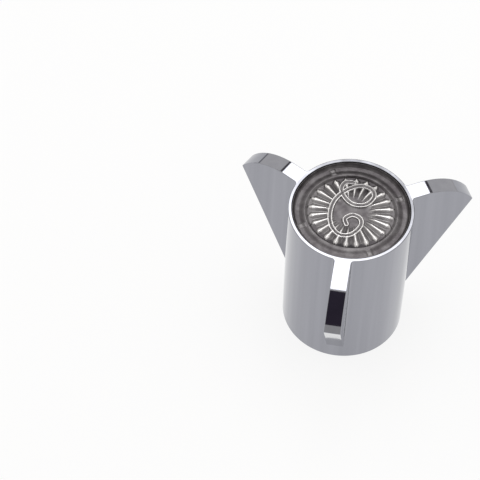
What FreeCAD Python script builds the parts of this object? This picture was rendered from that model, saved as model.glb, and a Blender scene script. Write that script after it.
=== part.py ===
import FreeCAD, Part
import math
import os
import re
import Sketcher

# Chrome tap handle with three fins: a cast body, the index button in its top and the screw below it.
# Origin on the axis at the foot of the skirt, +Z up, one fin towards -Y.

# Driving dimensions, in millimetres, degrees and counts.
SIZES = {
    # Skirt and rim
    "handle_height": 56.0,
    "rim_radius": 20.85,
    "rim_land": 1.2,
    "skirt_taper": 0.9,
    "skirt_wall": 2.2,
    "rim_chamfer": 0.25,
    "lip_chamfer": 0.15,
    # Fins
    "fin_count": 3,
    "fin_turn": 30.0,
    "fin_thickness": 5.7,
    "fin_flat_length": 4.55,
    "fin_arc_radius": 20.3,
    "fin_arc_angle": 60.0,
    "fin_foot_height": 6.8,
    "fin_edge_round": 0.25,
    # Deck, boss and spindle socket inside the skirt
    "recess_depth": 3.0,
    "deck_thickness": 3.5,
    "well_depth": 5.5,
    "driver_room": 2.3,
    "boss_wall": 1.5,
    "boss_length": 19.5,
    "web_thickness": 4.0,
    "socket_radius": 4.3,
    "point_count": 12,
    "point_depth": 0.6,
    "lead_in_step": 0.4,
    "lead_in_depth": 3.0,
    # Index button
    "button_clearance": 0.15,
    "flange_thickness": 1.3,
    "flange_ledge": 3.1,
    "edge_rise": 1.4,
    "edge_width": 1.2,
    "edge_land": 0.2,
    "medallion_rise": 0.5,
    "medallion_slope": 0.6,
    "ring_width": 1.3,
    "field_depth": 0.15,
    "petal_count": 24,
    "petal_tip_width": 0.1,
    "flute_depth": 0.65,
    "flute_start": 4.9,
    "nib_count": 4,
    "nib_turn": 20.5,
    "nib_width": 2.0,
    "nib_rise": 0.3,
    "nib_setback": 0.35,
    "spigot_length": 2.0,
    "spigot_wall": 1.0,
    # Handle screw
    "shank_radius": 2.4,
    "shank_length": 12.7,
    "shank_chamfer": 0.5,
    "shank_clearance": 0.25,
    "head_radius": 4.7,
    "head_chamfer": 0.8,
    "head_height": 3.0,
    "cross_arms": 4,
    "cross_reach": 2.6,
    "cross_width": 1.2,
    "cross_depth": 1.8,
}

# Radii and heights that follow from the driving dimensions, as expressions.
BASE_RADIUS = "(rim_radius - skirt_taper)"
RECESS_RADIUS = "(rim_radius - rim_land)"
RECESS_FLOOR = "(handle_height - recess_depth)"
CEILING = f"({RECESS_FLOOR} - deck_thickness)"
BOSS_FOOT = f"({CEILING} - boss_length)"
WELL_RADIUS = "(head_radius + driver_room)"
WELL_FLOOR = f"({RECESS_FLOOR} - well_depth)"
BOSS_RADIUS = f"({WELL_RADIUS} + boss_wall)"
HOLE_RADIUS = "(shank_radius + shank_clearance)"
WEB_FOOT = f"({WELL_FLOOR} - web_thickness)"
POINT_RADIUS = "(socket_radius + point_depth)"
LEAD_IN_RADIUS = f"({POINT_RADIUS} + lead_in_step)"
LEAD_IN_TOP = f"({BOSS_FOOT} + lead_in_depth)"
CORE_RADIUS = f"({BASE_RADIUS} - skirt_wall)"
FIN_INNER = f"({BASE_RADIUS} - skirt_wall / 2)"
FIN_FLAT_END = "(rim_radius + fin_flat_length)"
FIN_TIP_RADIUS = f"({FIN_FLAT_END} + fin_arc_radius * sin(fin_arc_angle))"
FIN_TIP_HEIGHT = "(handle_height - fin_arc_radius * (1 - cos(fin_arc_angle)))"
FIN_SLOPE = f"(({FIN_TIP_HEIGHT} - fin_foot_height) / ({FIN_TIP_RADIUS} - {BASE_RADIUS}))"
FLANGE_RADIUS = f"({RECESS_RADIUS} - button_clearance)"
MEDALLION_RADIUS = f"({FLANGE_RADIUS} - flange_ledge)"
FIELD_RADIUS = f"({MEDALLION_RADIUS} - medallion_slope - ring_width)"
SPIGOT_RADIUS = f"({WELL_RADIUS} - button_clearance)"
FLANGE_TOP = "(spigot_length + flange_thickness)"
MEDALLION_TOP = f"({FLANGE_TOP} + medallion_rise)"
FIELD_LEVEL = f"({MEDALLION_TOP} - field_depth)"
FLUTE_END = f"({FIELD_RADIUS} * cos(180 / petal_count))"
FLUTE_RUN = f"({FLUTE_END} - flute_start)"
FLUTE_HALF_WIDTH = f"({FLUTE_END} * tan(180 / petal_count) - petal_tip_width / 2)"
HEAD_TOP = "(shank_length + head_height)"

UP = FreeCAD.Vector(0, 0, 1)
SKETCH_UP = FreeCAD.Vector(0, 1, 0)

# Faces that meet at more than this many degrees make a sharp edge, looked at in three places.
SHARP = 10.0
EDGE_SHARES = (0.05, 0.5, 0.95)
TOUCH = 0.001

doc = FreeCAD.newDocument("tap_handle")
sheet = doc.addObject("Spreadsheet::Sheet", "Sizes")
for row, (alias, number) in enumerate(SIZES.items(), start=1):
    sheet.set(f"A{row}", alias)
    sheet.set(f"B{row}", str(number))
    sheet.setAlias(f"B{row}", alias)
doc.recompute()


def bound(expression):
    """The expression with every size name, words joined by underscores, pointed at its cell."""
    return re.sub(r"[a-z]+(_[a-z]+)+", r"Sizes.\g<0>", str(expression))


def value(expression):
    return float(sheet.evalExpression(bound(expression)))


def drive(thing, **properties):
    for name, expression in properties.items():
        thing.setExpression(name, bound(expression))


def new_body(name):
    body = doc.addObject("PartDesign::Body", name)
    body.Label = name
    return body


def add(body, kind, name, **settings):
    feature = body.newObject(f"PartDesign::{kind}", name)
    for setting, choice in settings.items():
        setattr(feature, setting, choice)
    return feature


def origin_part(body, role):
    return next(part for part in body.Origin.OriginFeatures if part.Role == role)


def pin_point(sketch, side, end, across, up):
    """Hold one end of a side at its place, on an axis of the sketch or at measured distances from it."""
    places = [("DistanceX", across, -2), ("DistanceY", up, -1)]
    for kind, expression, axis in places:
        if expression == "0":
            sketch.addConstraint(Sketcher.Constraint("PointOnObject", side, end, axis))
        else:
            constraint = Sketcher.Constraint(kind, -1, 1, side, end, value(expression))
            index = sketch.addConstraint(constraint)
            sketch.setExpression(f"Constraints[{index}]", bound(expression))


def outline(body, plane, name, corners, arcs=None):
    """Closed sketch through corners, each an (across, up) pair of expressions.

    arcs maps the number of a side to its radius and the sign of its bow, +1 to the left of the way round.
    """
    sketch = body.newObject("Sketcher::SketchObject", name)
    sketch.AttachmentSupport = (origin_part(body, plane), [""])
    sketch.MapMode = "FlatFace"
    points = [FreeCAD.Vector(value(across), value(up), 0) for across, up in corners]
    ends = []
    for side, start in enumerate(points):
        finish = points[(side + 1) % len(points)]
        if arcs and side in arcs:
            radius, bow = arcs[side]
            chord = finish - start
            half = chord.Length / 2
            sagitta = value(radius) - (value(radius) ** 2 - half ** 2) ** 0.5
            left = FreeCAD.Vector(-chord.y, chord.x, 0).normalize()
            curve = Part.Arc(start, (start + finish) / 2 + left * sagitta * bow, finish)
            number = sketch.addGeometry(curve)
            forward = sketch.Geometry[number].StartPoint.distanceToPoint(start) < half
            ends.append((1, 2) if forward else (2, 1))
            index = sketch.addConstraint(Sketcher.Constraint("Radius", number, value(radius)))
            sketch.setExpression(f"Constraints[{index}]", bound(radius))
        else:
            sketch.addGeometry(Part.LineSegment(start, finish))
            ends.append((1, 2))
    for side, (across, up) in enumerate(corners):
        before = (side - 1) % len(corners)
        sketch.addConstraint(Sketcher.Constraint("Coincident", before, ends[before][1], side, ends[side][0]))
        pin_point(sketch, side, ends[side][0], across, up)
    doc.recompute()
    return sketch


def turned(body, kind, name, corners, arcs=None):
    """A half section turned about the axis: Revolution adds it and Groove cuts it away."""
    section = outline(body, "YZ_Plane", name + "_section", corners, arcs)
    feature = add(body, kind, name, Profile=section, ReferenceAxis=(section, ["V_Axis"]), Angle=360)
    doc.recompute()
    return feature


def ring_of(body, name, original, count):
    """A feature, or with None all that the body is so far, repeated round the axis of the body."""
    axis = (origin_part(body, "Z_Axis"), [""])
    pattern = add(body, "PolarPattern", name, Axis=axis, Angle=360)
    if original is None:
        pattern.TransformMode = "Whole shape"
    else:
        pattern.Originals = [original]
    drive(pattern, Occurrences=count)
    body.Tip = pattern
    doc.recompute()
    return pattern


def rounded(body, name, base, radius, wanted):
    """Fillet on the edges of base that wanted picks by their shape and place."""
    edges = [f"Edge{number}" for number, edge in enumerate(base.Shape.Edges, start=1) if wanted(edge)]
    fillet = add(body, "Fillet", name, Base=(base, edges))
    drive(fillet, Radius=radius)
    body.Tip = fillet
    doc.recompute()
    return fillet


def edge_middle(edge):
    first, last = edge.ParameterRange
    return edge.valueAt((first + last) / 2)


def crease(shape, edge):
    """Least angle, in degrees, between the two faces that meet along an edge: a smooth join has none."""
    faces = shape.ancestorsOfType(edge, Part.Face)
    if len(faces) < 2:
        return 0.0
    first, last = edge.ParameterRange
    angles = []
    for share in EDGE_SHARES:
        point = edge.valueAt(first + share * (last - first))
        normals = [face.normalAt(*face.Surface.parameter(point)) for face in faces]
        angles.append(math.degrees(normals[0].getAngle(normals[1])))
    return min(angles)


def make_handle_body():
    """One casting: three rounded plates for the fins, joined by the skirt and cored out from both ends."""
    body = new_body("handle_body")
    body.Placement.Rotation = FreeCAD.Rotation(UP, value("fin_turn"))
    body.setExpression("Placement.Rotation.Angle", bound("fin_turn"))

    plate_foot = f"(fin_foot_height - ({BASE_RADIUS} - {FIN_INNER}) * {FIN_SLOPE})"
    plate_side = outline(body, "XZ_Plane", "fin_side", [
        ("0", plate_foot),
        (FIN_INNER, plate_foot),
        (FIN_TIP_RADIUS, FIN_TIP_HEIGHT),
        (FIN_FLAT_END, "handle_height"),
        ("0", "handle_height"),
    ], arcs={2: ("fin_arc_radius", -1)})
    plate = add(body, "Pad", "fin_plate", Profile=plate_side, SideType="Symmetric")
    drive(plate, Length="fin_thickness")
    doc.recompute()

    def on_outer_edge(edge):
        middle = edge_middle(edge)
        outside = middle.x > value(FIN_INNER) / 2 and middle.z > value(plate_foot) + TOUCH
        return outside and crease(plate.Shape, edge) > SHARP

    rounded(body, "fin_edges", plate, "fin_edge_round", on_outer_edge)
    ring_of(body, "fins", None, "fin_count")

    skirt = turned(body, "Revolution", "skirt", [
        ("0", "0"),
        (BASE_RADIUS, "0"),
        ("rim_radius", "handle_height - rim_chamfer"),
        ("rim_radius - rim_chamfer", "handle_height"),
        ("0", "handle_height"),
    ])

    passage = turned(body, "Groove", "passage", [
        ("0", BOSS_FOOT),
        (LEAD_IN_RADIUS, BOSS_FOOT),
        (LEAD_IN_RADIUS, LEAD_IN_TOP),
        ("socket_radius", LEAD_IN_TOP),
        ("socket_radius", WEB_FOOT),
        (HOLE_RADIUS, WEB_FOOT),
        (HOLE_RADIUS, WELL_FLOOR),
        (WELL_RADIUS, WELL_FLOOR),
        (WELL_RADIUS, RECESS_FLOOR),
        (RECESS_RADIUS, RECESS_FLOOR),
        (RECESS_RADIUS, "handle_height - lip_chamfer"),
        (f"{RECESS_RADIUS} + lip_chamfer", "handle_height"),
        ("0", "handle_height"),
    ])
    canopy = turned(body, "Groove", "canopy", [
        ("0", "0"),
        (CORE_RADIUS, "0"),
        (CORE_RADIUS, CEILING),
        (BOSS_RADIUS, CEILING),
        (BOSS_RADIUS, BOSS_FOOT),
        ("0", BOSS_FOOT),
    ])

    point_section = outline(body, "XY_Plane", "socket_point_section", [
        (POINT_RADIUS, "0"),
        ("socket_radius - point_depth", "2 * point_depth"),
        ("socket_radius - point_depth", "-2 * point_depth"),
    ])
    point = add(body, "Pocket", "socket_point", Profile=point_section, Reversed=True)
    drive(point, Length=WEB_FOOT)
    doc.recompute()
    points = ring_of(body, "socket_points", point, "point_count")
    expect_less([skirt, passage, canopy, point, points])
    return body


def make_index_button():
    """Snap-in index disc: a flange with an upturned edge, a medallion with fluted petals and a spigot below."""
    body = new_body("index_button")
    body.Placement.Rotation = FreeCAD.Rotation(UP, value("180 / petal_count"))
    body.setExpression("Placement.Rotation.Angle", bound("180 / petal_count"))
    drive(body, **{"Placement.Base.z": f"{RECESS_FLOOR} - spigot_length"})
    disc = turned(body, "Revolution", "disc", [
        ("0", "spigot_length"),
        (f"{SPIGOT_RADIUS} - spigot_wall", "spigot_length"),
        (f"{SPIGOT_RADIUS} - spigot_wall", "0"),
        (SPIGOT_RADIUS, "0"),
        (SPIGOT_RADIUS, "spigot_length"),
        (FLANGE_RADIUS, "spigot_length"),
        (FLANGE_RADIUS, f"{FLANGE_TOP} + edge_rise"),
        (f"{FLANGE_RADIUS} - edge_land", f"{FLANGE_TOP} + edge_rise"),
        (f"{FLANGE_RADIUS} - edge_width", FLANGE_TOP),
        (MEDALLION_RADIUS, FLANGE_TOP),
        (f"{MEDALLION_RADIUS} - medallion_slope", MEDALLION_TOP),
        (FIELD_RADIUS, MEDALLION_TOP),
        (FIELD_RADIUS, FIELD_LEVEL),
        ("0", FIELD_LEVEL),
    ])

    # A V cut that runs up and out of the field on its way in leaves pointed petals on both its sides.
    flute_section = outline(body, "YZ_Plane", "flute_section", [
        ("0", f"{FIELD_LEVEL} - flute_depth"),
        (FLUTE_HALF_WIDTH, FIELD_LEVEL),
        (f"-{FLUTE_HALF_WIDTH}", FIELD_LEVEL),
    ])
    drive(flute_section, **{"AttachmentOffset.Base.z": FLUTE_END})
    flute = add(body, "Pocket", "flute", Profile=flute_section, UseCustomVector=True)
    flute.Direction = FreeCAD.Vector(-value(FLUTE_RUN), 0, value("flute_depth"))
    flute.AlongSketchNormal = True
    drive(flute, Length=FLUTE_RUN)
    drive(flute, **{"Direction.x": f"-{FLUTE_RUN}", "Direction.z": "flute_depth"})
    doc.recompute()
    flutes = ring_of(body, "flutes", flute, "petal_count")
    expect_less([disc, flute, flutes])

    nib_side = outline(body, "XZ_Plane", "nib_side", [
        (f"{MEDALLION_RADIUS} - medallion_slope", f"{FLANGE_TOP} - flange_thickness / 2"),
        (f"{FLANGE_RADIUS} - nib_setback", f"{FLANGE_TOP} - flange_thickness / 2"),
        (f"{FLANGE_RADIUS} - nib_setback", f"{FLANGE_TOP} + nib_rise"),
        (f"{MEDALLION_RADIUS} - medallion_slope", f"{FLANGE_TOP} + nib_rise"),
    ])
    nib_turn = FreeCAD.Rotation(SKETCH_UP, value("nib_turn"))
    nib_side.AttachmentOffset = FreeCAD.Placement(FreeCAD.Vector(), nib_turn)
    drive(nib_side, **{"AttachmentOffset.Rotation.Angle": "nib_turn"})
    nib = add(body, "Pad", "nib", Profile=nib_side, SideType="Symmetric")
    drive(nib, Length="nib_width")
    doc.recompute()
    ring_of(body, "nibs", nib, "nib_count")
    return body


def make_handle_screw():
    """Screw with a cross recess in its head, seated on the web above the spindle socket."""
    body = new_body("handle_screw")
    drive(body, **{"Placement.Base.z": f"{WELL_FLOOR} - shank_length"})
    turning = turned(body, "Revolution", "turning", [
        ("0", "0"),
        ("shank_radius - shank_chamfer", "0"),
        ("shank_radius", "shank_chamfer"),
        ("shank_radius", "shank_length"),
        ("head_radius", "shank_length"),
        ("head_radius", f"{HEAD_TOP} - head_chamfer"),
        ("head_radius - head_chamfer", HEAD_TOP),
        ("0", HEAD_TOP),
    ])
    arm_side = outline(body, "XZ_Plane", "cross_arm_side", [
        ("0", f"{HEAD_TOP} - cross_depth"),
        ("cross_reach / 2", f"{HEAD_TOP} - cross_depth"),
        ("cross_reach", HEAD_TOP),
        ("0", HEAD_TOP),
    ])
    arm = add(body, "Pocket", "cross_arm", Profile=arm_side, SideType="Symmetric")
    drive(arm, Length="cross_width")
    doc.recompute()
    cross = ring_of(body, "cross", arm, "cross_arms")
    expect_less([turning, arm, cross])
    return body


def expect_less(steps):
    """Every step of a run of cuts takes material away."""
    volumes = [step.Shape.Volume for step in steps]
    for step, before, after in zip(steps[1:], volumes, volumes[1:]):
        if after >= before:
            raise RuntimeError(f"{step.Label} cuts nothing")


def write_parts(bodies):
    failed = [thing.Label for thing in doc.Objects if {"Invalid", "Error"} & set(thing.State)]
    if failed:
        raise RuntimeError("failed: " + ", ".join(failed))
    for body in bodies:
        if body.Shape.isNull() or not body.Shape.isValid() or len(body.Shape.Solids) != 1:
            raise RuntimeError(f"{body.Label} is not one sound solid")
    os.makedirs("parts", exist_ok=True)
    for body in bodies:
        body.Shape.exportStep(f"parts/{body.Label}.step")
        print(f"{body.Label}: {body.Shape.Volume / 1000:.2f} cm3, {len(body.Shape.Faces)} faces")


pieces = [make_handle_body(), make_index_button(), make_handle_screw()]
doc.recompute()
write_parts(pieces)
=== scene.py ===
import math

import bmesh
import bpy
import numpy as np
from mathutils import Matrix, Vector


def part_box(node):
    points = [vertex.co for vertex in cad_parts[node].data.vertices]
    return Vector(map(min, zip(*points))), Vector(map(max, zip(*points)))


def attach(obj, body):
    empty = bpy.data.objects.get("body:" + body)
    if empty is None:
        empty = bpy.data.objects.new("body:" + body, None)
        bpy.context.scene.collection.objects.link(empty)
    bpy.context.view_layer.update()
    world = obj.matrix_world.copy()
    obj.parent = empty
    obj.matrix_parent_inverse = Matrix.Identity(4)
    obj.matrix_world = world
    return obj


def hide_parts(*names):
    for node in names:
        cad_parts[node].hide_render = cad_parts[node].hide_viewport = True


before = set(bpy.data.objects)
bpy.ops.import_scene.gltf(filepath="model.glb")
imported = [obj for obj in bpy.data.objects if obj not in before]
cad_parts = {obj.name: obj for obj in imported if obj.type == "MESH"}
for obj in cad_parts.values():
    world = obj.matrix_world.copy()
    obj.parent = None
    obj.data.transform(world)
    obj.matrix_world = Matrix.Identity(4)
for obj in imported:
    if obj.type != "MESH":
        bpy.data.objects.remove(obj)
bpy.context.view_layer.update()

# Chrome tap handle on a white table: a polished casting with three fins, a dark index button with bright
# worn crests, and the screw below the button. Lengths are in millimetres until a mesh is made.
MM = 0.001

# Casting: the skirt's section, what it hides, and the rounding of its edges
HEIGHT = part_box("handle_body")[1].z / MM
RIM_RADIUS = 20.85
BASE_RADIUS = 19.95
CORE_RADIUS = 17.75
RECESS_RADIUS = 19.65
SPIGOT_LENGTH = 2.0
RECESS_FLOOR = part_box("index_button")[0].z / MM + SPIGOT_LENGTH
TOP_THICKNESS = 3.5
CEILING = RECESS_FLOOR - TOP_THICKNESS
WELL_RADIUS = 7.0
WELL_DEPTH = 5.5
WELL_FLOOR = RECESS_FLOOR - WELL_DEPTH
HOLE_RADIUS = 2.65
WEB_THICKNESS = 4.0
WEB_FOOT = WELL_FLOOR - WEB_THICKNESS
SOCKET_RADIUS = 4.3
POINT_RADIUS = 4.9
POINT_COUNT = 12
BOSS_RADIUS = 8.5
BOSS_LENGTH = 19.5
BOSS_FOOT = CEILING - BOSS_LENGTH
LEAD_IN_RADIUS = 5.3
LEAD_IN_DEPTH = 3.0
LEAD_IN_TOP = BOSS_FOOT + LEAD_IN_DEPTH
EDGE_ROUND = 0.25
LIP_ROUND = 0.15
FOOT_ROUND = 0.3
INNER_ROUND = 0.15

# Fins: a flat top, a falling arc and a straight lower edge, with a hollow round at the root
FIN_ANGLES = (-90.0, 30.0, 150.0)
FIN_HALF_THICKNESS = 2.85
FIN_FLAT_LENGTH = 4.55
FIN_FLAT_END = RIM_RADIUS + FIN_FLAT_LENGTH
FIN_ARC_RADIUS = 20.3
FIN_ARC_ANGLE = math.radians(60.0)
FIN_FOOT_HEIGHT = 5.9
FIN_FOOT_INSIDE = 19.5
ROOT_ROUND = 1.1
ROOT_LEAST_ROUND = 0.02
ROOT_ABOVE_FOOT = 1.2
ROOT_FADE = 9.0
ROOT_ANCHOR = 0.6
ROOT_ANCHOR_DROP = 3.0

# Index button: a spigot, a flange with nibs and an upturned edge, and a medallion with a ring and a field.
# A pair of numbers here and below is where a soft change starts and where it ends.
BUTTON_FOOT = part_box("index_button")[0].z / MM
EDGE_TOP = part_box("index_button")[1].z / MM
FLANGE_RADIUS = 19.5
FLANGE_THICKNESS = 1.3
FLANGE_TOP = RECESS_FLOOR + FLANGE_THICKNESS
FLANGE_ROUND = 0.15
EDGE_WIDTH = 1.2
EDGE_FOOT = FLANGE_RADIUS - EDGE_WIDTH
EDGE_LAND = FLANGE_RADIUS - 0.2
EDGE_LIP = 0.08
EDGE_SIDE = 0.2
MEDALLION_RADIUS = 16.4
MEDALLION_RISE = 0.5
RING_TOP = FLANGE_TOP + MEDALLION_RISE
FIELD_RADIUS = 14.5
SPIGOT_RADIUS = 6.85
SPIGOT_BORE = 5.85
SPIGOT_ROUND = 0.1
NIB_COUNT = 4
NIB_ANGLE = math.radians(28.0)
NIB_RISE = 0.22
NIB_ASIDE = (1.3, 0.5)
NIB_INNER_END = (MEDALLION_RADIUS - 0.9, MEDALLION_RADIUS)
NIB_OUTER_END = (EDGE_FOOT + 0.5, EDGE_FOOT - 0.4)
RING_SLOPE = (MEDALLION_RADIUS - 1.2, MEDALLION_RADIUS + 0.9)
STEP_START = FIELD_RADIUS - 0.3
STEP_END = FIELD_RADIUS + 0.1
STEP_WIDENING_SIDES = 0.8
STEP_WIDENING_REAR = 0.3

# Petals: their length, their rise over a field that falls outward and most at the rear, and their crests
PETAL_COUNT = 24
PETAL_START = 5.4
PETAL_FULL = 8.6
PETAL_SHOULDER = 12.9
PETAL_TIP = 14.35
PETAL_WIDTH_SHARE = 0.92
PETAL_RISE = 0.64
PETAL_TIP_DROP = 0.2
PETAL_FULLNESS = 0.85
FIELD_DEPTH = 0.35
FIELD_FALL = 0.1
FIELD_FALL_REAR = 0.35
CREST_START = 0.12
CREST_GROWTH = 0.3
BEAD_WIDTH = 0.15
BEAD_WIDTH_FRONT = 0.2
BEAD_WIDTH_REAR = 0.1
BEAD_CENTRE = PETAL_SHOULDER + 0.1
BEAD_SPREAD = 0.75

# The letter for cold: a scroll with a curl at its foot and a loop at its head, as points on its middle line
LETTER_POINTS = (
    (-0.9, -5.2), (-1.6, -3.0), (0.6, -1.2), (3.4, -2.3), (3.7, -5.4), (1.2, -9.0), (-2.4, -9.8),
    (-5.6, -6.8), (-6.8, -1.6), (-6.0, 3.8), (-3.0, 8.2), (1.4, 10.9), (5.4, 10.2), (6.6, 7.2),
    (4.4, 3.8), (0.6, 3.1), (-2.6, 5.2), (-4.4, 8.6), (-3.4, 11.6), (-0.6, 11.9),
)
LETTER_HALF_WIDTH = 0.62
LETTER_MARGIN = 0.16
LETTER_BLEND = 0.4
LETTER_EDGE = 0.25
LETTER_LEVEL = RING_TOP - 0.08
LETTER_RELIEF = 0.3
LETTER_HEAD = (6.5, 11.0)
# Painted shade: the letter's head, towards the rear, is less bright
LETTER_HEAD_SHADE = 0.4

# Wear and painted light of the button's plate: 1 where it is rubbed bright, 0 where it is plain and -1
# where it is darkest. The petals' brighter sides are painted highlight; the darker rear flutes, pockets
# between the tips, front crests, rear ring and letter head are painted shade.
FIELD_WEAR = 0.02
PETAL_WEAR = 0.04
# Painted highlight: the petals are brighter at the sides
PETAL_SHEEN_SIDES = 0.14
CREST_WEAR = 0.95
# Painted shade: the rubbed crests are less bright towards the front
CREST_SHADE_FRONT = 0.2
CREST_ASIDE = (1.2, 0.6)
CREST_END = (0.05, 0.5)
# Painted shade: the flutes between the petals are darker at the rear
FLUTE_PAINTED_SHADE = 0.15
FLUTE_RADII = (PETAL_FULL - 1.0, PETAL_FULL + 2.0)
FLUTE_DEPTH = (0.3, 0.9)
# Painted shade: the pockets between the petal tips are darkest at the front, less dark at the sides and not
# darkened at the rear
POCKET_PAINTED_SHADE_FRONT = 0.9
POCKET_PAINTED_SHADE_SIDES = 0.16
POCKET_RADII = (PETAL_SHOULDER - 0.6, PETAL_SHOULDER + 0.4)
POCKET_ASIDE = (0.0, 0.25)
RING_WEAR = 0.045
RING_WEAR_RADII = (MEDALLION_RADIUS, MEDALLION_RADIUS - 0.9)
# Painted shade: the ring is less bright at the rear
RING_SHADE_REAR = 0.03
NIB_WEAR = 0.09
UPTURN_WEAR = 0.06

# How fine the meshes are, and how near to an edge a guard loop keeps the flat beside it flat
LATHE_COLUMNS = 288
BUTTON_COLUMNS = 480
FIELD_RINGS = 128
FIELD_RINGS_END = FIELD_RADIUS - 0.4
STEP_RINGS = 8
STEP_RINGS_SPAN = (FIELD_RADIUS - 0.32, FIELD_RADIUS + 0.12)
BORDER_RINGS = 28
BORDER_RINGS_START = FIELD_RADIUS + 0.25
EDGE_RINGS = 10
EDGE_RINGS_START = EDGE_FOOT + 0.1
ARC_STEPS = 5
FIN_ARC_STEPS = 56
FIN_FLAT_STEPS = 9
FIN_END_LOOP = 1.0
ROOT_STEPS = 8
ROOT_ROWS = 28
ROOT_OVERRUN = 0.5
LETTER_STEPS = 40
GUARD = 0.06
WELD = 0.001
TINY = 1e-6
SHARP_ANGLE = math.radians(60.0)

UPWARD = np.array((0.0, 0.0, 1.0))
TURN = 2.0 * math.pi


def unit(vector):
    return vector / np.linalg.norm(vector)


def leaning(angle):
    """Direction in a section, as (outward, upward), that leans outward from upright by an angle."""
    return np.array((math.sin(angle), math.cos(angle)))


def smooth_step(low, high, value):
    share = np.clip((value - low) / (high - low), 0.0, 1.0)
    return share * share * (3.0 - 2.0 * share)


def mixed(first, second, share):
    return first + (second - first) * share


def from_nearest(angles, count, first=0.0):
    """Angle from the nearest of count places that are spread evenly round the axis."""
    pitch = TURN / count
    return (angles - first + pitch / 2.0) % pitch - pitch / 2.0


def rounded_profile(corners):
    """Closed outline through (radius, height, rounding) corners.

    Each corner is an arc, with a guard point beside it that keeps the straight stretch flat when shaded.
    """
    points = []
    for index, (radius, height, rounding) in enumerate(corners):
        here = np.array((radius, height))
        back = unit(np.array(corners[index - 1][:2]) - here)
        ahead = unit(np.array(corners[(index + 1) % len(corners)][:2]) - here)
        half = math.acos(float(np.clip(back @ ahead, -1.0, 1.0))) / 2.0
        reach = rounding / math.tan(half)
        centre = here + unit(back + ahead) * rounding / math.sin(half)
        spokes = (here + back * reach - centre, here + ahead * reach - centre)
        start, end = (math.atan2(spoke[1], spoke[0]) for spoke in spokes)
        turn = (end - start + math.pi) % TURN - math.pi
        points.append(here + back * (reach + GUARD))
        for step in range(ARC_STEPS + 1):
            angle = start + turn * step / ARC_STEPS
            points.append(centre + rounding * np.array((math.cos(angle), math.sin(angle))))
        points.append(here + ahead * (reach + GUARD))
    return np.array(points)


def grid_faces(rows, columns, closed_rows=False):
    """Quads of a grid of points whose last column meets the first, as the last row may too."""
    faces = []
    for row in range(rows if closed_rows else rows - 1):
        here = row * columns
        after = (row + 1) % rows * columns
        for column in range(columns):
            beside = (column + 1) % columns
            faces.append((here + column, here + beside, after + beside, after + column))
    return faces


def flipped(faces):
    return [tuple(reversed(face)) for face in faces]


def turned_points(radii, heights, angles):
    """Points of a grid of radii and heights, one row for each place on the section."""
    x = radii * np.cos(angles)
    y = radii * np.sin(angles)
    return np.stack((x, y, np.broadcast_to(heights, radii.shape)), axis=-1).reshape(-1, 3)


def make_piece(name, parts, material, node, attributes):
    """One smooth mesh from parts, each a pair of points and faces, that stands for a node of the frame."""
    points = []
    faces = []
    for part_points, part_faces in parts:
        start = len(points)
        points.extend((np.asarray(part_points) * MM).tolist())
        faces.extend(tuple(start + corner for corner in face) for face in part_faces)
    mesh = bpy.data.meshes.new(name)
    mesh.from_pydata(points, [], faces)
    for attribute, values in attributes.items():
        layer = mesh.attributes.new(attribute, "FLOAT", "POINT")
        layer.data.foreach_set("value", np.asarray(values, np.float32))
    shell = bmesh.new()
    shell.from_mesh(mesh)
    bmesh.ops.remove_doubles(shell, verts=shell.verts, dist=WELD * MM)
    shell.to_mesh(mesh)
    shell.free()
    mesh.shade_smooth()
    mesh.set_sharp_from_angle(angle=SHARP_ANGLE)
    mesh.materials.append(material)
    piece = bpy.data.objects.new(name, mesh)
    bpy.context.scene.collection.objects.link(piece)
    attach(piece, "root")
    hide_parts(node)


def skirt_part():
    """The whole turned form of the casting, with the twelve points of the spindle socket."""
    profile = rounded_profile([
        (BASE_RADIUS, 0.0, FOOT_ROUND),
        (RIM_RADIUS, HEIGHT, EDGE_ROUND),
        (RECESS_RADIUS, HEIGHT, LIP_ROUND),
        (RECESS_RADIUS, RECESS_FLOOR, INNER_ROUND),
        (WELL_RADIUS, RECESS_FLOOR, INNER_ROUND),
        (WELL_RADIUS, WELL_FLOOR, INNER_ROUND),
        (HOLE_RADIUS, WELL_FLOOR, INNER_ROUND),
        (HOLE_RADIUS, WEB_FOOT, INNER_ROUND),
        (SOCKET_RADIUS, WEB_FOOT, INNER_ROUND),
        (SOCKET_RADIUS, LEAD_IN_TOP, INNER_ROUND),
        (LEAD_IN_RADIUS, LEAD_IN_TOP, INNER_ROUND),
        (LEAD_IN_RADIUS, BOSS_FOOT, FOOT_ROUND),
        (BOSS_RADIUS, BOSS_FOOT, FOOT_ROUND),
        (BOSS_RADIUS, CEILING, FOOT_ROUND),
        (CORE_RADIUS, CEILING, FOOT_ROUND),
        (CORE_RADIUS, 0.0, FOOT_ROUND),
    ])
    angles = np.linspace(0.0, TURN, LATHE_COLUMNS, endpoint=False)[None, :]
    heights = profile[:, 1:]
    radii = np.repeat(profile[:, :1], LATHE_COLUMNS, axis=1)
    aside = np.abs(from_nearest(angles, POINT_COUNT))
    notch = POINT_RADIUS / (np.cos(aside) + np.sin(aside))
    on_socket = (np.abs(radii - SOCKET_RADIUS) < GUARD) & (heights < WEB_FOOT)
    radii = np.where(on_socket, np.maximum(radii, notch), radii)
    points = turned_points(radii, heights, angles)
    return points, grid_faces(len(profile), LATHE_COLUMNS, closed_rows=True)


# A fin's section in its own plane, as (outward, upward)
FIN_ARC_CENTRE = np.array((FIN_FLAT_END, HEIGHT - FIN_ARC_RADIUS))
FIN_TIP = FIN_ARC_CENTRE + FIN_ARC_RADIUS * leaning(FIN_ARC_ANGLE)
FIN_DOWN = unit(np.array((BASE_RADIUS, FIN_FOOT_HEIGHT)) - FIN_TIP)
FIN_INWARD = np.array((FIN_DOWN[1], -FIN_DOWN[0]))


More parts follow.
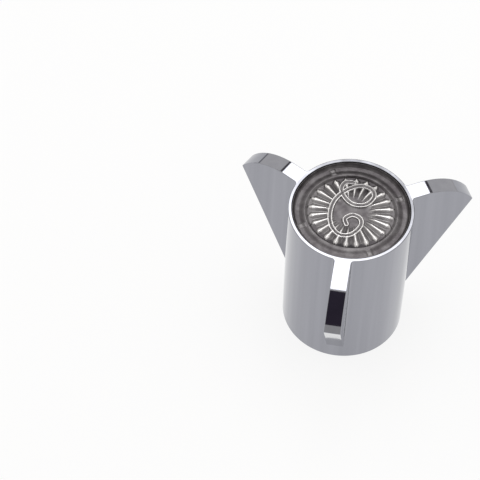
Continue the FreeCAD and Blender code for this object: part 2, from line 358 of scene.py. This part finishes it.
def fin_corner(inset):
    """Where the arc and the lower edge meet, both moved into the fin by inset."""
    offset = FIN_TIP + FIN_INWARD * inset - FIN_ARC_CENTRE
    along = offset @ FIN_DOWN
    gap = offset @ offset - (FIN_ARC_RADIUS - inset) ** 2
    return FIN_ARC_CENTRE + offset + FIN_DOWN * (-along - math.sqrt(along * along - gap))


def fin_outline(across, inset):
    """Loop round a fin's side, moved in by inset: top, arc, rounded tip, lower edge, end in the skirt.

    The top starts on the circle where the rim begins to round over.
    """
    top = HEIGHT - inset
    start = math.sqrt((RIM_RADIUS - EDGE_ROUND) ** 2 - across ** 2)
    tip_round = max(EDGE_ROUND - inset, 0.0)
    tip_centre = fin_corner(max(inset, EDGE_ROUND))
    spoke = tip_centre - FIN_ARC_CENTRE
    last = math.atan2(spoke[0], spoke[1])
    flat = (start, start + GUARD, FIN_FLAT_END - FIN_END_LOOP, FIN_FLAT_END - GUARD)
    points = [(outward, top) for outward in flat]
    for step in range(FIN_ARC_STEPS + 1):
        angle = last * step / FIN_ARC_STEPS
        points.append(FIN_ARC_CENTRE + (FIN_ARC_RADIUS - inset) * leaning(angle))
    lower = math.atan2(-FIN_INWARD[0], -FIN_INWARD[1])
    for step in range(1, ARC_STEPS + 1):
        angle = last + (lower - last) * step / ARC_STEPS
        points.append(tip_centre + tip_round * leaning(angle))
    end_of_tip = np.array(points[-1])
    to_foot = (FIN_FOOT_INSIDE - end_of_tip[0]) / FIN_DOWN[0]
    for distance in (GUARD, FIN_END_LOOP, to_foot / 2.0, to_foot - FIN_END_LOOP, to_foot):
        points.append(end_of_tip + FIN_DOWN * distance)
    return np.array(points)


def fin_layers():
    """(across, inset) of the loops that make a fin: flat sides, rounded edges, a flat edge between them."""
    flat = FIN_HALF_THICKNESS - EDGE_ROUND
    half = [(across, 0.0) for across in np.linspace(0.0, flat - GUARD, FIN_FLAT_STEPS)]
    for step in range(ARC_STEPS + 1):
        angle = math.pi / 2.0 * step / ARC_STEPS
        half.append((flat + EDGE_ROUND * math.sin(angle), EDGE_ROUND * (1.0 - math.cos(angle))))
    half.append((FIN_HALF_THICKNESS, EDGE_ROUND + GUARD))
    return [(-across, inset) for across, inset in reversed(half[1:])] + half


def fin_directions(angle):
    """Directions along a fin and across it, to its left."""
    outward = np.array((math.cos(angle), math.sin(angle), 0.0))
    sideways = np.array((-math.sin(angle), math.cos(angle), 0.0))
    return outward, sideways


def fin_part(angle):
    """One fin, closed at both sides, whose inner end lies in the skirt's wall."""
    layers = fin_layers()
    outward, sideways = fin_directions(angle)
    points = []
    for across, inset in layers:
        loop = fin_outline(across, inset)
        points.append(loop[:, :1] * outward + across * sideways + loop[:, 1:] * UPWARD)
    size = len(points[0])
    faces = grid_faces(len(layers), size)
    last = (len(layers) - 1) * size
    faces.append(tuple(reversed(range(size))))
    faces.append(tuple(range(last, last + size)))
    return np.concatenate(points), faces


def root_loop(skirt, half_thickness, rounding, spare, overrun):
    """Points across a root round, level: from the skirt to the side of a fin that lies along +X.

    The arc is spare wider than the round and still ends on the skirt and on the fin. It runs on by overrun
    steps, so that the last strips of a wall lie flat on what they join.
    """
    away = skirt + rounding
    wide = rounding + spare
    reach = half_thickness + rounding
    centre = np.array((math.sqrt(away ** 2 - reach ** 2), reach))
    bend = (skirt ** 2 - away ** 2 - wide ** 2) / (2.0 * wide * away)
    start = math.asin(reach / away) - math.acos(max(bend, -1.0))
    end = -math.pi / 2.0 - math.acos(rounding / wide)
    shares = np.linspace(-overrun, ROOT_STEPS + overrun, ROOT_STEPS + 2) / ROOT_STEPS
    angles = start + (end - start) * shares
    return centre + wide * np.stack((np.cos(angles), np.sin(angles)), axis=1)


def root_part(angle, side):
    """Hollow round between a fin and the skirt, which fades out at the foot and turns over into the top.

    Each row is closed by an anchor inside the casting, and the top by the corner of the fin and the rim.
    """
    foot = FIN_FOOT_HEIGHT + ROOT_ABOVE_FOOT
    shoulder = HEIGHT - EDGE_ROUND
    outward, sideways = fin_directions(angle)
    sideways = sideways * side
    points = []

    def corner(height, inset):
        skirt = BASE_RADIUS + (RIM_RADIUS - BASE_RADIUS) * height / HEIGHT - inset
        half_thickness = FIN_HALF_THICKNESS - inset
        along = math.sqrt(skirt ** 2 - half_thickness ** 2)
        return skirt, half_thickness, along * outward + half_thickness * sideways + height * UPWARD

    def add_row(height, inset, rounding, spare, overrun):
        skirt, half_thickness, meeting = corner(height, inset)
        loop = root_loop(skirt, half_thickness, rounding, spare, overrun)
        points.extend(loop[:, :1] * outward + loop[:, 1:] * sideways + height * UPWARD)
        points.append(meeting - ROOT_ANCHOR * (outward + sideways) - ROOT_ANCHOR_DROP * UPWARD)

    for height in np.linspace(foot, shoulder, ROOT_ROWS):
        rounding = max(ROOT_ROUND * smooth_step(foot, foot + ROOT_FADE, height), ROOT_LEAST_ROUND)
        add_row(height, 0.0, rounding, 0.0, ROOT_OVERRUN)
    for step in range(1, ARC_STEPS + 1):
        bend = math.pi / 2.0 * step / ARC_STEPS
        inset = EDGE_ROUND * (1.0 - math.cos(bend))
        height = shoulder + EDGE_ROUND * math.sin(bend)
        add_row(height, inset, ROOT_ROUND + inset, 0.0, ROOT_OVERRUN * math.cos(bend))
    add_row(HEIGHT, EDGE_ROUND, ROOT_ROUND + EDGE_ROUND, GUARD, 0.0)
    columns = ROOT_STEPS + 3
    rows = len(points) // columns
    points.append(corner(HEIGHT, EDGE_ROUND)[2])
    last = (rows - 1) * columns
    peak = rows * columns
    faces = grid_faces(rows, columns)
    faces += [(column + 1, column, columns - 1) for column in range(columns - 2)]
    faces += [(last + column, last + (column + 1) % columns, peak) for column in range(columns)]
    return np.array(points), flipped(faces) if side > 0 else faces


def letter_line():
    """Smooth curve through the letter's points."""
    knots = np.array(LETTER_POINTS)
    knots = np.vstack((2.0 * knots[0] - knots[1], knots, 2.0 * knots[-1] - knots[-2]))
    share = np.linspace(0.0, 1.0, LETTER_STEPS, endpoint=False)[:, None]
    spans = []
    for before, start, end, after in zip(knots, knots[1:], knots[2:], knots[3:]):
        bend = 2.0 * before - 5.0 * start + 4.0 * end - after
        twist = -before + 3.0 * start - 3.0 * end + after
        spans.append(start + 0.5 * share * ((end - before) + share * (bend + share * twist)))
    return np.concatenate(spans)


def distance_to_letter(x, y):
    line = letter_line()
    nearest = np.empty(x.shape)
    for row in range(len(x)):
        across = x[row][:, None] - line[None, :, 0]
        along = y[row][:, None] - line[None, :, 1]
        nearest[row] = np.sqrt((across ** 2 + along ** 2).min(axis=1))
    return nearest


def rear_share(angles):
    """1 at the rear of the button, falling to 0 at its sides and at its front."""
    return np.clip(np.sin(angles), 0.0, 1.0)


def petal_relief(radii, angles):
    """Height, and wear with painted light, of the field: petals with rubbed crests, a painted highlight at
    the sides, and painted shade in the flutes at the rear, on the crests at the front and in the pockets
    between their tips.
    """
    rear = rear_share(angles)
    front = rear_share(-angles)
    sides = np.cos(angles) ** 2
    pitch = TURN / PETAL_COUNT
    aside = np.abs(from_nearest(angles, PETAL_COUNT)) * radii
    grown = smooth_step(PETAL_START, PETAL_FULL, radii)
    pointed = np.clip((PETAL_TIP - radii) / (PETAL_TIP - PETAL_SHOULDER), 0.0, 1.0)
    half_width = PETAL_WIDTH_SHARE * np.minimum(radii, PETAL_SHOULDER) * pitch / 2.0 * pointed
    roof = np.clip(1.0 - aside / np.maximum(half_width, TINY), 0.0, 1.0)
    fall = FIELD_FALL + FIELD_FALL_REAR * rear
    height = RING_TOP - FIELD_DEPTH - fall * smooth_step(PETAL_START, PETAL_TIP, radii)
    height = height + grown * (PETAL_RISE - PETAL_TIP_DROP * (1.0 - pointed)) * roof ** PETAL_FULLNESS

    length_share = np.clip((radii - PETAL_START) / (PETAL_SHOULDER - PETAL_START), 0.0, 1.0)
    bead = BEAD_WIDTH + BEAD_WIDTH_FRONT * front + BEAD_WIDTH_REAR * rear
    crest = CREST_START + CREST_GROWTH * length_share
    crest = crest + bead * np.exp(-((radii - BEAD_CENTRE) / BEAD_SPREAD) ** 2)
    # Painted highlight: the petals are brighter at the sides
    wear_and_painted_light = FIELD_WEAR + (PETAL_WEAR + PETAL_SHEEN_SIDES * sides) * grown
    # Painted shade: the flutes are darker at the rear
    flute_shade = rear * smooth_step(*FLUTE_RADII, radii) * smooth_step(*FLUTE_DEPTH, 1.0 - roof)
    # Painted shade: the pockets between the tips are darkest at the front and less dark at the sides
    pocket_shade = POCKET_PAINTED_SHADE_FRONT * front ** 4 + POCKET_PAINTED_SHADE_SIDES * sides ** 2
    pocket_shade = pocket_shade * smooth_step(*POCKET_RADII, radii) * smooth_step(*POCKET_ASIDE, aside - half_width)
    wear_and_painted_light = wear_and_painted_light - np.maximum(FLUTE_PAINTED_SHADE * flute_shade, pocket_shade)
    # Painted shade: the rubbed crests are less bright towards the front
    rubbed = grown * smooth_step(*CREST_ASIDE, aside / crest) * smooth_step(*CREST_END, pointed)
    return height, mixed(wear_and_painted_light, CREST_WEAR - CREST_SHADE_FRONT * front ** 2, rubbed)


def border_relief(radii, angles):
    """Height and wear of the ring, the flange, its nibs and its upturned edge, and where they take over;
    the ring's rear is painted in shade.
    """
    rear = rear_share(angles)
    nib = smooth_step(*NIB_ASIDE, np.abs(from_nearest(angles, NIB_COUNT, NIB_ANGLE)) * radii)
    nib = nib * smooth_step(*NIB_INNER_END, radii) * smooth_step(*NIB_OUTER_END, radii)
    off_ring = smooth_step(*RING_SLOPE, radii)
    upturn = np.clip((radii - EDGE_FOOT) / (EDGE_LAND - EDGE_FOOT), 0.0, 1.0) ** 2
    height = RING_TOP - MEDALLION_RISE * off_ring + NIB_RISE * nib + (EDGE_TOP - FLANGE_TOP) * upturn
    on_ring = smooth_step(*RING_WEAR_RADII, radii)
    # Painted shade: the ring is less bright at the rear
    wear_and_painted_light = (RING_WEAR - RING_SHADE_REAR * rear) * on_ring + NIB_WEAR * nib + UPTURN_WEAR * upturn
    step_end = STEP_END + STEP_WIDENING_SIDES * np.cos(angles) ** 2 + STEP_WIDENING_REAR * rear ** 2
    return height, wear_and_painted_light, smooth_step(STEP_START, step_end, radii)


def button_relief(radii, angles):
    """Height, and wear with painted light, of the button's upper side: the field, the border round it and
    the letter on both.
    """
    height, wear_and_painted_light = petal_relief(radii, angles)
    border, border_wear_and_shade, outside = border_relief(radii, angles)
    height = mixed(height, border, outside)
    wear_and_painted_light = mixed(wear_and_painted_light, border_wear_and_shade, outside)
    along = radii * np.sin(angles)
    gap = distance_to_letter(radii * np.cos(angles), along)
    on_letter = smooth_step(LETTER_HALF_WIDTH + LETTER_BLEND, LETTER_HALF_WIDTH + LETTER_MARGIN, gap)
    bead = np.exp(-((gap - LETTER_HALF_WIDTH) / LETTER_EDGE) ** 2)
    raised = np.maximum(height, LETTER_LEVEL + LETTER_RELIEF * bead)
    # Painted shade: the letter's head, towards the rear, is less bright
    letter_head_shade = LETTER_HEAD_SHADE * smooth_step(*LETTER_HEAD, along)
    return mixed(height, raised, on_letter), mixed(wear_and_painted_light, bead * (1.0 - letter_head_shade), on_letter)


def button_part():
    """Upper side as a fine grid of rings, closed below by the flange's edge and the spigot."""
    upper = np.concatenate((
        np.linspace(0.0, FIELD_RINGS_END, FIELD_RINGS),
        np.linspace(*STEP_RINGS_SPAN, STEP_RINGS),
        np.linspace(BORDER_RINGS_START, EDGE_FOOT, BORDER_RINGS),
        np.linspace(EDGE_RINGS_START, EDGE_LAND, EDGE_RINGS),
        (FLANGE_RADIUS - EDGE_LIP,),
    ))[:, None]
    angles = np.linspace(0.0, TURN, BUTTON_COLUMNS, endpoint=False)[None, :]
    radii = np.repeat(upper, BUTTON_COLUMNS, axis=1)
    heights, wear_and_painted_light = button_relief(radii, np.repeat(angles, len(upper), axis=0))
    lower = np.array([
        (FLANGE_RADIUS, EDGE_TOP - EDGE_LIP),
        (FLANGE_RADIUS, EDGE_TOP - EDGE_SIDE),
        (FLANGE_RADIUS, RECESS_FLOOR + FLANGE_ROUND),
        (FLANGE_RADIUS - FLANGE_ROUND, RECESS_FLOOR),
        (SPIGOT_RADIUS + SPIGOT_ROUND, RECESS_FLOOR),
        (SPIGOT_RADIUS, RECESS_FLOOR - SPIGOT_ROUND),
        (SPIGOT_RADIUS, BUTTON_FOOT + SPIGOT_ROUND),
        (SPIGOT_RADIUS - SPIGOT_ROUND, BUTTON_FOOT),
        (SPIGOT_BORE + SPIGOT_ROUND, BUTTON_FOOT),
        (SPIGOT_BORE, BUTTON_FOOT + SPIGOT_ROUND),
        (SPIGOT_BORE, RECESS_FLOOR - SPIGOT_ROUND),
        (SPIGOT_BORE - SPIGOT_ROUND, RECESS_FLOOR),
        (0.0, RECESS_FLOOR),
    ])
    radii = np.concatenate((radii, np.repeat(lower[:, :1], BUTTON_COLUMNS, axis=1)))
    heights = np.concatenate((heights, np.repeat(lower[:, 1:], BUTTON_COLUMNS, axis=1)))
    wear_and_painted_light = np.concatenate((wear_and_painted_light, np.zeros((len(lower), BUTTON_COLUMNS))))
    points = turned_points(radii, heights, angles)
    return (points, flipped(grid_faces(len(radii), BUTTON_COLUMNS))), wear_and_painted_light.ravel()


def new_material(name, settings):
    """A material, its node tree and its main shader, with the even settings on the shader's own sockets."""
    material = bpy.data.materials.new(name)
    material.use_nodes = True
    tree = material.node_tree
    shader = tree.nodes["Principled BSDF"]
    for socket, setting in settings.items():
        shader.inputs[socket].default_value = setting
    return material, tree, shader


def noise(tree, cells, detail, upright=1.0):
    """Grain in the object's own space, in cells per metre, which upright makes longer along Z."""
    place = tree.nodes.new("ShaderNodeTexCoord")
    stretch = tree.nodes.new("ShaderNodeMapping")
    stretch.inputs["Scale"].default_value = (1.0, 1.0, 1.0 / upright)
    grain = tree.nodes.new("ShaderNodeTexNoise")
    grain.inputs["Scale"].default_value = cells
    grain.inputs["Detail"].default_value = detail
    tree.links.new(place.outputs["Object"], stretch.inputs["Vector"])
    tree.links.new(stretch.outputs["Vector"], grain.inputs["Vector"])
    return grain.outputs["Fac"]


def ramp(tree, factor, low, high, start=0.0, end=1.0):
    """Maps a factor from start..end to low..high."""
    node = tree.nodes.new("ShaderNodeMapRange")
    node.inputs["From Min"].default_value = start
    node.inputs["From Max"].default_value = end
    node.inputs["To Min"].default_value = low
    node.inputs["To Max"].default_value = high
    tree.links.new(factor, node.inputs["Value"])
    return node.outputs["Result"]


def calculated(tree, operation, *terms):
    """A sum, product or the like of two sockets or plain numbers, or the absolute value of one."""
    node = tree.nodes.new("ShaderNodeMath")
    node.operation = operation
    for socket, term in zip(node.inputs, terms):
        if isinstance(term, float):
            socket.default_value = term
        else:
            tree.links.new(term, socket)
    return node.outputs["Value"]


def blend(tree, factor, first, second):
    """Mix of two colours, each a triple or the output of another blend."""
    node = tree.nodes.new("ShaderNodeMix")
    node.data_type = "RGBA"
    for socket, colour in ((node.inputs["A"], first), (node.inputs["B"], second)):
        if isinstance(colour, tuple):
            socket.default_value = (*colour, 1.0)
        else:
            tree.links.new(colour, socket)
    tree.links.new(factor, node.inputs["Factor"])
    return node.outputs["Result"]


def bump(tree, shader, height, distance, strength):
    """Lays a bump on the shader, with its distance in millimetres."""
    node = tree.nodes.new("ShaderNodeBump")
    node.inputs["Distance"].default_value = distance * MM
    node.inputs["Strength"].default_value = strength
    tree.links.new(height, node.inputs["Height"])
    tree.links.new(node.outputs["Normal"], shader.inputs["Normal"])


def vertex_value(tree, name):
    """What a mesh attribute of this name holds."""
    node = tree.nodes.new("ShaderNodeAttribute")
    node.attribute_name = name
    return node.outputs["Fac"]


# Plates, screw and table. Colours and roughness go from the low end of a grain to its high end. A grain is
# its cells per metre, its detail and, for some, its stretch upright. A bump is its distance and strength.
METAL = {"Metallic": 1.0}
GRAIN_SPAN = (0.3, 0.7)
CHROME_COLOURS = ((0.303, 0.307, 0.339), (0.336, 0.34, 0.374))
# Upright streaks in the chrome's colour: partly polish marks, partly painted reflection
CHROME_POLISH_AND_REFLECTION_STREAKS = (330.0, 2.0, 45.0)
CHROME_ROUGHNESS = (0.03, 0.075)
CHROME_GLOSS_GRAIN = (900.0, 4.0)
CHROME_WAVES = (140.0, 1.0, 9.0)
CHROME_BUMP = (0.02, 0.35)
INSIDE_ROUGHNESS = 0.45
# Painted shade on the rim top: its mottle, how much of it shows, its colour and the side where it is
# deepest
RIM_SHADE_MOTTLE = (260.0, 3.0)
RIM_SHADE_MOTTLE_SHARES = (0.5, 1.0)
RIM_SHADE_COLOUR = (0.1, 0.101, 0.11)
RIM_SHADE_SIDE = math.radians(60.0)
ANTIQUED_COLOURS = ((0.087, 0.08, 0.085), (0.8, 0.785, 0.785))
ANTIQUED_ROUGHNESS = (0.42, 0.24)
ANTIQUED_GRAIN = (2400.0, 3.0)
ANTIQUED_BUMP = (0.03, 0.4)
# Near black colour of the painted shade in the flutes and pockets
PAINTED_SHADE_COLOUR = (0.012, 0.012, 0.013)
CLOUD_GRAIN = (380.0, 5.0)
CLOUD_SPAN = (0.3, 0.75)
CLOUD_WEAR = (-0.03, 0.09)
STEEL_COLOURS = ((0.5, 0.47, 0.42), (0.64, 0.61, 0.55))
STEEL_COLOUR_GRAIN = (700.0, 3.0)
STEEL_ROUGHNESS = (0.28, 0.42)
STEEL_GLOSS_GRAIN = (1500.0, 3.0)
STEEL_GRAIN = (2600.0, 2.0)
STEEL_BUMP = (0.02, 0.3)
TABLE_COLOURS = ((0.9, 0.9, 0.905), (0.93, 0.93, 0.935))
TABLE_COLOUR_GRAIN = (9.0, 3.0)
TABLE_ROUGHNESS = 0.85
TABLE_SHINE = 0.1
TABLE_GRAIN = (500.0, 2.0)
TABLE_BUMP = (0.02, 0.1)
TABLE_GLOW = 0.85


def chrome_plate():
    """Polished plate with faint upright streaks, partly polish marks and partly painted reflection, and
    waviness; painted shade mottles the rim top; dull inside the skirt.
    """
    material, tree, shader = new_material("chrome_plate", METAL)
    # Painted reflection, partly polish marks: faint upright streaks in the chrome's colour
    polish_and_reflection_streaks = ramp(tree, noise(tree, *CHROME_POLISH_AND_REFLECTION_STREAKS), 0.0, 1.0, *GRAIN_SPAN)
    # Painted shade: the rim top is darkened in a mottle, most at the rear right
    rim_shade_mottle = ramp(tree, noise(tree, *RIM_SHADE_MOTTLE), *RIM_SHADE_MOTTLE_SHARES, *GRAIN_SPAN)
    painted_rim_shade_share = calculated(tree, "MULTIPLY", vertex_value(tree, "rim_shade"), rim_shade_mottle)
    tint = blend(tree, painted_rim_shade_share, blend(tree, polish_and_reflection_streaks, *CHROME_COLOURS), RIM_SHADE_COLOUR)
    tree.links.new(tint, shader.inputs["Base Color"])
    gloss = ramp(tree, noise(tree, *CHROME_GLOSS_GRAIN), *CHROME_ROUGHNESS, *GRAIN_SPAN)
    dull = calculated(tree, "MULTIPLY", vertex_value(tree, "inside"), INSIDE_ROUGHNESS)
    tree.links.new(calculated(tree, "MAXIMUM", gloss, dull), shader.inputs["Roughness"])
    bump(tree, shader, noise(tree, *CHROME_WAVES), *CHROME_BUMP)
    return material


def antiqued_plate():
    """Dark plate in the hollows, rubbed bright on the crests, with painted shade on the flutes, pockets,
    front crests, rear ring and letter head, and a painted highlight on the petals at the sides.
    """
    material, tree, shader = new_material("antiqued_plate", METAL)
    # The attribute carries the rubbed wear and the painted light and shade
    wear_and_painted_light = vertex_value(tree, "wear_and_painted_light")
    cloudy = ramp(tree, noise(tree, *CLOUD_GRAIN), *CLOUD_WEAR, *CLOUD_SPAN)
    patchy = calculated(tree, "ADD", wear_and_painted_light, cloudy)
    tint = blend(tree, patchy, *ANTIQUED_COLOURS)
    # Painted shade: what falls below plain wear goes towards a near black colour
    tint = blend(tree, ramp(tree, wear_and_painted_light, 1.0, 0.0, -1.0, 0.0), tint, PAINTED_SHADE_COLOUR)
    tree.links.new(tint, shader.inputs["Base Color"])
    tree.links.new(ramp(tree, patchy, *ANTIQUED_ROUGHNESS), shader.inputs["Roughness"])
    bump(tree, shader, noise(tree, *ANTIQUED_GRAIN), *ANTIQUED_BUMP)
    return material


def screw_steel():
    """Plain plated steel with a fine grain."""
    material, tree, shader = new_material("screw_steel", METAL)
    tint = blend(tree, noise(tree, *STEEL_COLOUR_GRAIN), *STEEL_COLOURS)
    tree.links.new(tint, shader.inputs["Base Color"])
    gloss = ramp(tree, noise(tree, *STEEL_GLOSS_GRAIN), *STEEL_ROUGHNESS)
    tree.links.new(gloss, shader.inputs["Roughness"])
    bump(tree, shader, noise(tree, *STEEL_GRAIN), *STEEL_BUMP)
    return material


def table_top():
    """White table: most of what is seen of it, straight or mirrored, is even, the rest takes shadow."""
    settings = {"Roughness": TABLE_ROUGHNESS, "Specular IOR Level": TABLE_SHINE}
    material, tree, shader = new_material("table_top", settings)
    tint = blend(tree, noise(tree, *TABLE_COLOUR_GRAIN), *TABLE_COLOURS)
    tree.links.new(tint, shader.inputs["Base Color"])
    bump(tree, shader, noise(tree, *TABLE_GRAIN), *TABLE_BUMP)
    path = tree.nodes.new("ShaderNodeLightPath")
    seen = path.outputs["Is Camera Ray"]
    for ray in ("Is Glossy Ray", "Is Transmission Ray"):
        seen = calculated(tree, "MAXIMUM", seen, path.outputs[ray])
    white = tree.nodes.new("ShaderNodeEmission")
    white.inputs["Color"].default_value = (1.0, 1.0, 1.0, 1.0)
    white.inputs["Strength"].default_value = 1.0
    surface = tree.nodes.new("ShaderNodeMixShader")
    tree.links.new(calculated(tree, "MULTIPLY", seen, TABLE_GLOW), surface.inputs["Fac"])
    tree.links.new(shader.outputs["BSDF"], surface.inputs[1])
    tree.links.new(white.outputs["Emission"], surface.inputs[2])
    tree.links.new(surface.outputs["Shader"], tree.nodes["Material Output"].inputs["Surface"])
    return material


# Table: its half width in metres, and how far it lies below the handle in millimetres
TABLE_HALF_WIDTH = 2.0
TABLE_DROP = 0.01


def make_table():
    half = TABLE_HALF_WIDTH
    mesh = bpy.data.meshes.new("table")
    corners = [(-half, -half, 0.0), (half, -half, 0.0), (half, half, 0.0), (-half, half, 0.0)]
    mesh.from_pydata(corners, [], [(0, 1, 2, 3)])
    mesh.materials.append(table_top())
    table = bpy.data.objects.new("table", mesh)
    table.location.z = -TABLE_DROP * MM
    bpy.context.scene.collection.objects.link(table)


# The room's light, and its darker zones by where they start and end along the parts of a direction
ROOM_LIGHT = (0.91, 0.895, 0.87)
LOW_FRONT_LIGHT = (0.64, 0.63, 0.61)
LOW_FRONT_ASIDE = (0.25, 0.45)
LOW_FRONT_ALONG = (-0.7, -0.5)
WALL_FOOT_LIGHT = (0.3, 0.3, 0.32)
WALL_FOOT_UP = (0.015, 0.06)
WALL_FOOT_ACROSS = (-0.3, 0.0)
WALL_FOOT_RIGHT_SHARE = 0.15
LAMP_BORDER_LIGHT = (0.12, 0.11, 0.12)
LAMP_BORDER_START = (0.7, 0.71)
LAMP_BORDER_END = (0.745, 0.755)
LAMP_BORDER_ALONG = (0.4, 0.5)
CAMERA_SIDE_LIGHT = (0.055, 0.045, 0.065)
CAMERA_SIDE_ASIDE = (0.13, 0.19)
CAMERA_SIDE_ALONG = (-0.09, -0.06)
CAMERA_SIDE_UP = (0.34, 0.36)


def make_world():
    """Soft light all round, darker at the foot of the walls, where the camera stands and below the lamp."""
    world = bpy.data.worlds.new("soft_room")
    bpy.context.scene.world = world
    world.use_nodes = True
    tree = world.node_tree
    place = tree.nodes.new("ShaderNodeTexCoord")
    parts = tree.nodes.new("ShaderNodeSeparateXYZ")
    tree.links.new(place.outputs["Generated"], parts.inputs["Vector"])
    across, along, up = (parts.outputs[axis] for axis in "XYZ")
    aside = calculated(tree, "ABSOLUTE", across)

    def rising(factor, span):
        return ramp(tree, factor, 0.0, 1.0, *span)

    def falling(factor, span, low=0.0):
        return ramp(tree, factor, 1.0, low, *span)

    def both(first, second):
        return calculated(tree, "MULTIPLY", first, second)

    low_front = both(falling(aside, LOW_FRONT_ASIDE), falling(along, LOW_FRONT_ALONG))
    wall_foot = both(falling(up, WALL_FOOT_UP), falling(across, WALL_FOOT_ACROSS, WALL_FOOT_RIGHT_SHARE))
    lamp_border = both(rising(up, LAMP_BORDER_START), falling(up, LAMP_BORDER_END))
    lamp_border = both(lamp_border, rising(along, LAMP_BORDER_ALONG))
    camera_side = both(falling(aside, CAMERA_SIDE_ASIDE), falling(along, CAMERA_SIDE_ALONG))
    camera_side = both(camera_side, rising(up, CAMERA_SIDE_UP))
    light = blend(tree, low_front, ROOM_LIGHT, LOW_FRONT_LIGHT)
    light = blend(tree, wall_foot, light, WALL_FOOT_LIGHT)
    light = blend(tree, lamp_border, light, LAMP_BORDER_LIGHT)
    light = blend(tree, camera_side, light, CAMERA_SIDE_LIGHT)
    background = tree.nodes["Background"]
    tree.links.new(light, background.inputs["Color"])
    background.inputs["Strength"].default_value = 1.0


# Lamp, in metres and watts per square metre and steradian
LAMP_DISTANCE = 0.6
LAMP_ELEVATION = math.radians(69.8)
LAMP_WIDTH = 0.2
LAMP_LENGTH = 0.545
LAMP_ASIDE = -0.018
LAMP_RADIANCE = 2.8


def make_lamp():
    """Long soft lamp behind and above, which the flat tops of the rim and fins mirror."""
    lamp = bpy.data.lights.new("top_strip", "AREA")
    lamp.shape = "RECTANGLE"
    lamp.size = LAMP_WIDTH
    lamp.size_y = LAMP_LENGTH
    lamp.energy = LAMP_RADIANCE * math.pi * LAMP_WIDTH * LAMP_LENGTH
    holder = bpy.data.objects.new("top_strip", lamp)
    toward = Vector((0.0, math.cos(LAMP_ELEVATION), math.sin(LAMP_ELEVATION)))
    top = Vector((LAMP_ASIDE, 0.0, HEIGHT * MM))
    down = Vector((0.0, math.sin(LAMP_ELEVATION), -math.cos(LAMP_ELEVATION)))
    turn = Matrix((Vector((1.0, 0.0, 0.0)), down, toward)).transposed()
    holder.matrix_world = Matrix.Translation(top + toward * LAMP_DISTANCE) @ turn.to_4x4()
    bpy.context.scene.collection.objects.link(holder)


# Camera, fitted to the rim, the fin tips and the foot of the skirt in the photograph
CAMERA_AZIMUTH = math.radians(3.082)
CAMERA_ELEVATION = math.radians(54.421)
CAMERA_DISTANCE = 1.64
CAMERA_ROLL = math.radians(-5.66)
CLIP_START = 0.05
CLIP_END = 50.0
FOCAL_PIXELS = 4931.588
PICTURE_PIXELS = 480.0
TARGET_PIXEL = (347.859, 248.559)
SENSOR_MM = 36.0


def make_camera():
    """Camera that looks past the handle, so that the handle's middle falls on its pixel before the roll."""
    target = Vector((0.0, 0.0, HEIGHT * MM / 2.0))
    level = math.cos(CAMERA_ELEVATION)
    back = Vector((
        math.sin(CAMERA_AZIMUTH) * level,
        -math.cos(CAMERA_AZIMUTH) * level,
        math.sin(CAMERA_ELEVATION),
    ))
    right = Vector((0.0, 0.0, 1.0)).cross(back).normalized()
    aimed = Matrix((right, back.cross(right), back))
    middle = PICTURE_PIXELS / 2.0
    across = (TARGET_PIXEL[0] - middle) / FOCAL_PIXELS
    down = (TARGET_PIXEL[1] - middle) / FOCAL_PIXELS
    aside = Vector((0.0, 0.0, -1.0)).rotation_difference(Vector((across, -down, -1.0))).to_matrix()
    rolled = Matrix.Rotation(CAMERA_ROLL, 3, "Z")
    lens = bpy.data.cameras.new("camera")
    lens.sensor_width = SENSOR_MM
    lens.lens = FOCAL_PIXELS / PICTURE_PIXELS * SENSOR_MM
    lens.clip_start = CLIP_START
    lens.clip_end = CLIP_END
    camera = bpy.data.objects.new("camera", lens)
    turn = (rolled @ aside @ aimed).transposed()
    camera.matrix_world = Matrix.Translation(target + back * CAMERA_DISTANCE) @ turn.to_4x4()
    bpy.context.scene.collection.objects.link(camera)
    bpy.context.scene.camera = camera


def painted_rim_shade(points):
    """How much painted shade darkens the plate at each point of the turned form: on the rim top, most at
    the rear right.
    """
    on_top = points[:, 2] > HEIGHT - LIP_ROUND / 2.0
    aside = np.arctan2(points[:, 1], points[:, 0]) - RIM_SHADE_SIDE
    return on_top * (1.0 + np.cos(aside)) / 2.0


def dress_handle():
    """Puts the drawn casting and button in place of their solids, and steel on the screw's solid."""
    casting = [skirt_part()]
    for angle in map(math.radians, FIN_ANGLES):
        casting.append(fin_part(angle))
        casting += [root_part(angle, side) for side in (-1.0, 1.0)]
    from_axis = np.concatenate([np.hypot(points[:, 0], points[:, 1]) for points, faces in casting])
    inside = from_axis < CORE_RADIUS + FOOT_ROUND / 2.0
    # Painted shade on the rim top of the turned form
    rim_shade = np.zeros(len(from_axis))
    rim_shade[:len(casting[0][0])] = painted_rim_shade(casting[0][0])
    shares = {"inside": inside, "rim_shade": rim_shade}
    make_piece("casting", casting, chrome_plate(), "handle_body", shares)
    relief, wear_and_painted_light = button_part()
    plate = antiqued_plate()
    # The button's attribute carries its wear and its painted light and shade
    make_piece("index_disc", [relief], plate, "index_button", {"wear_and_painted_light": wear_and_painted_light})
    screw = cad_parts["handle_screw"]
    screw.data.materials.clear()
    screw.data.materials.append(screw_steel())


dress_handle()
make_table()
make_world()
make_lamp()
make_camera()
bpy.context.scene.view_settings.view_transform = "Standard"
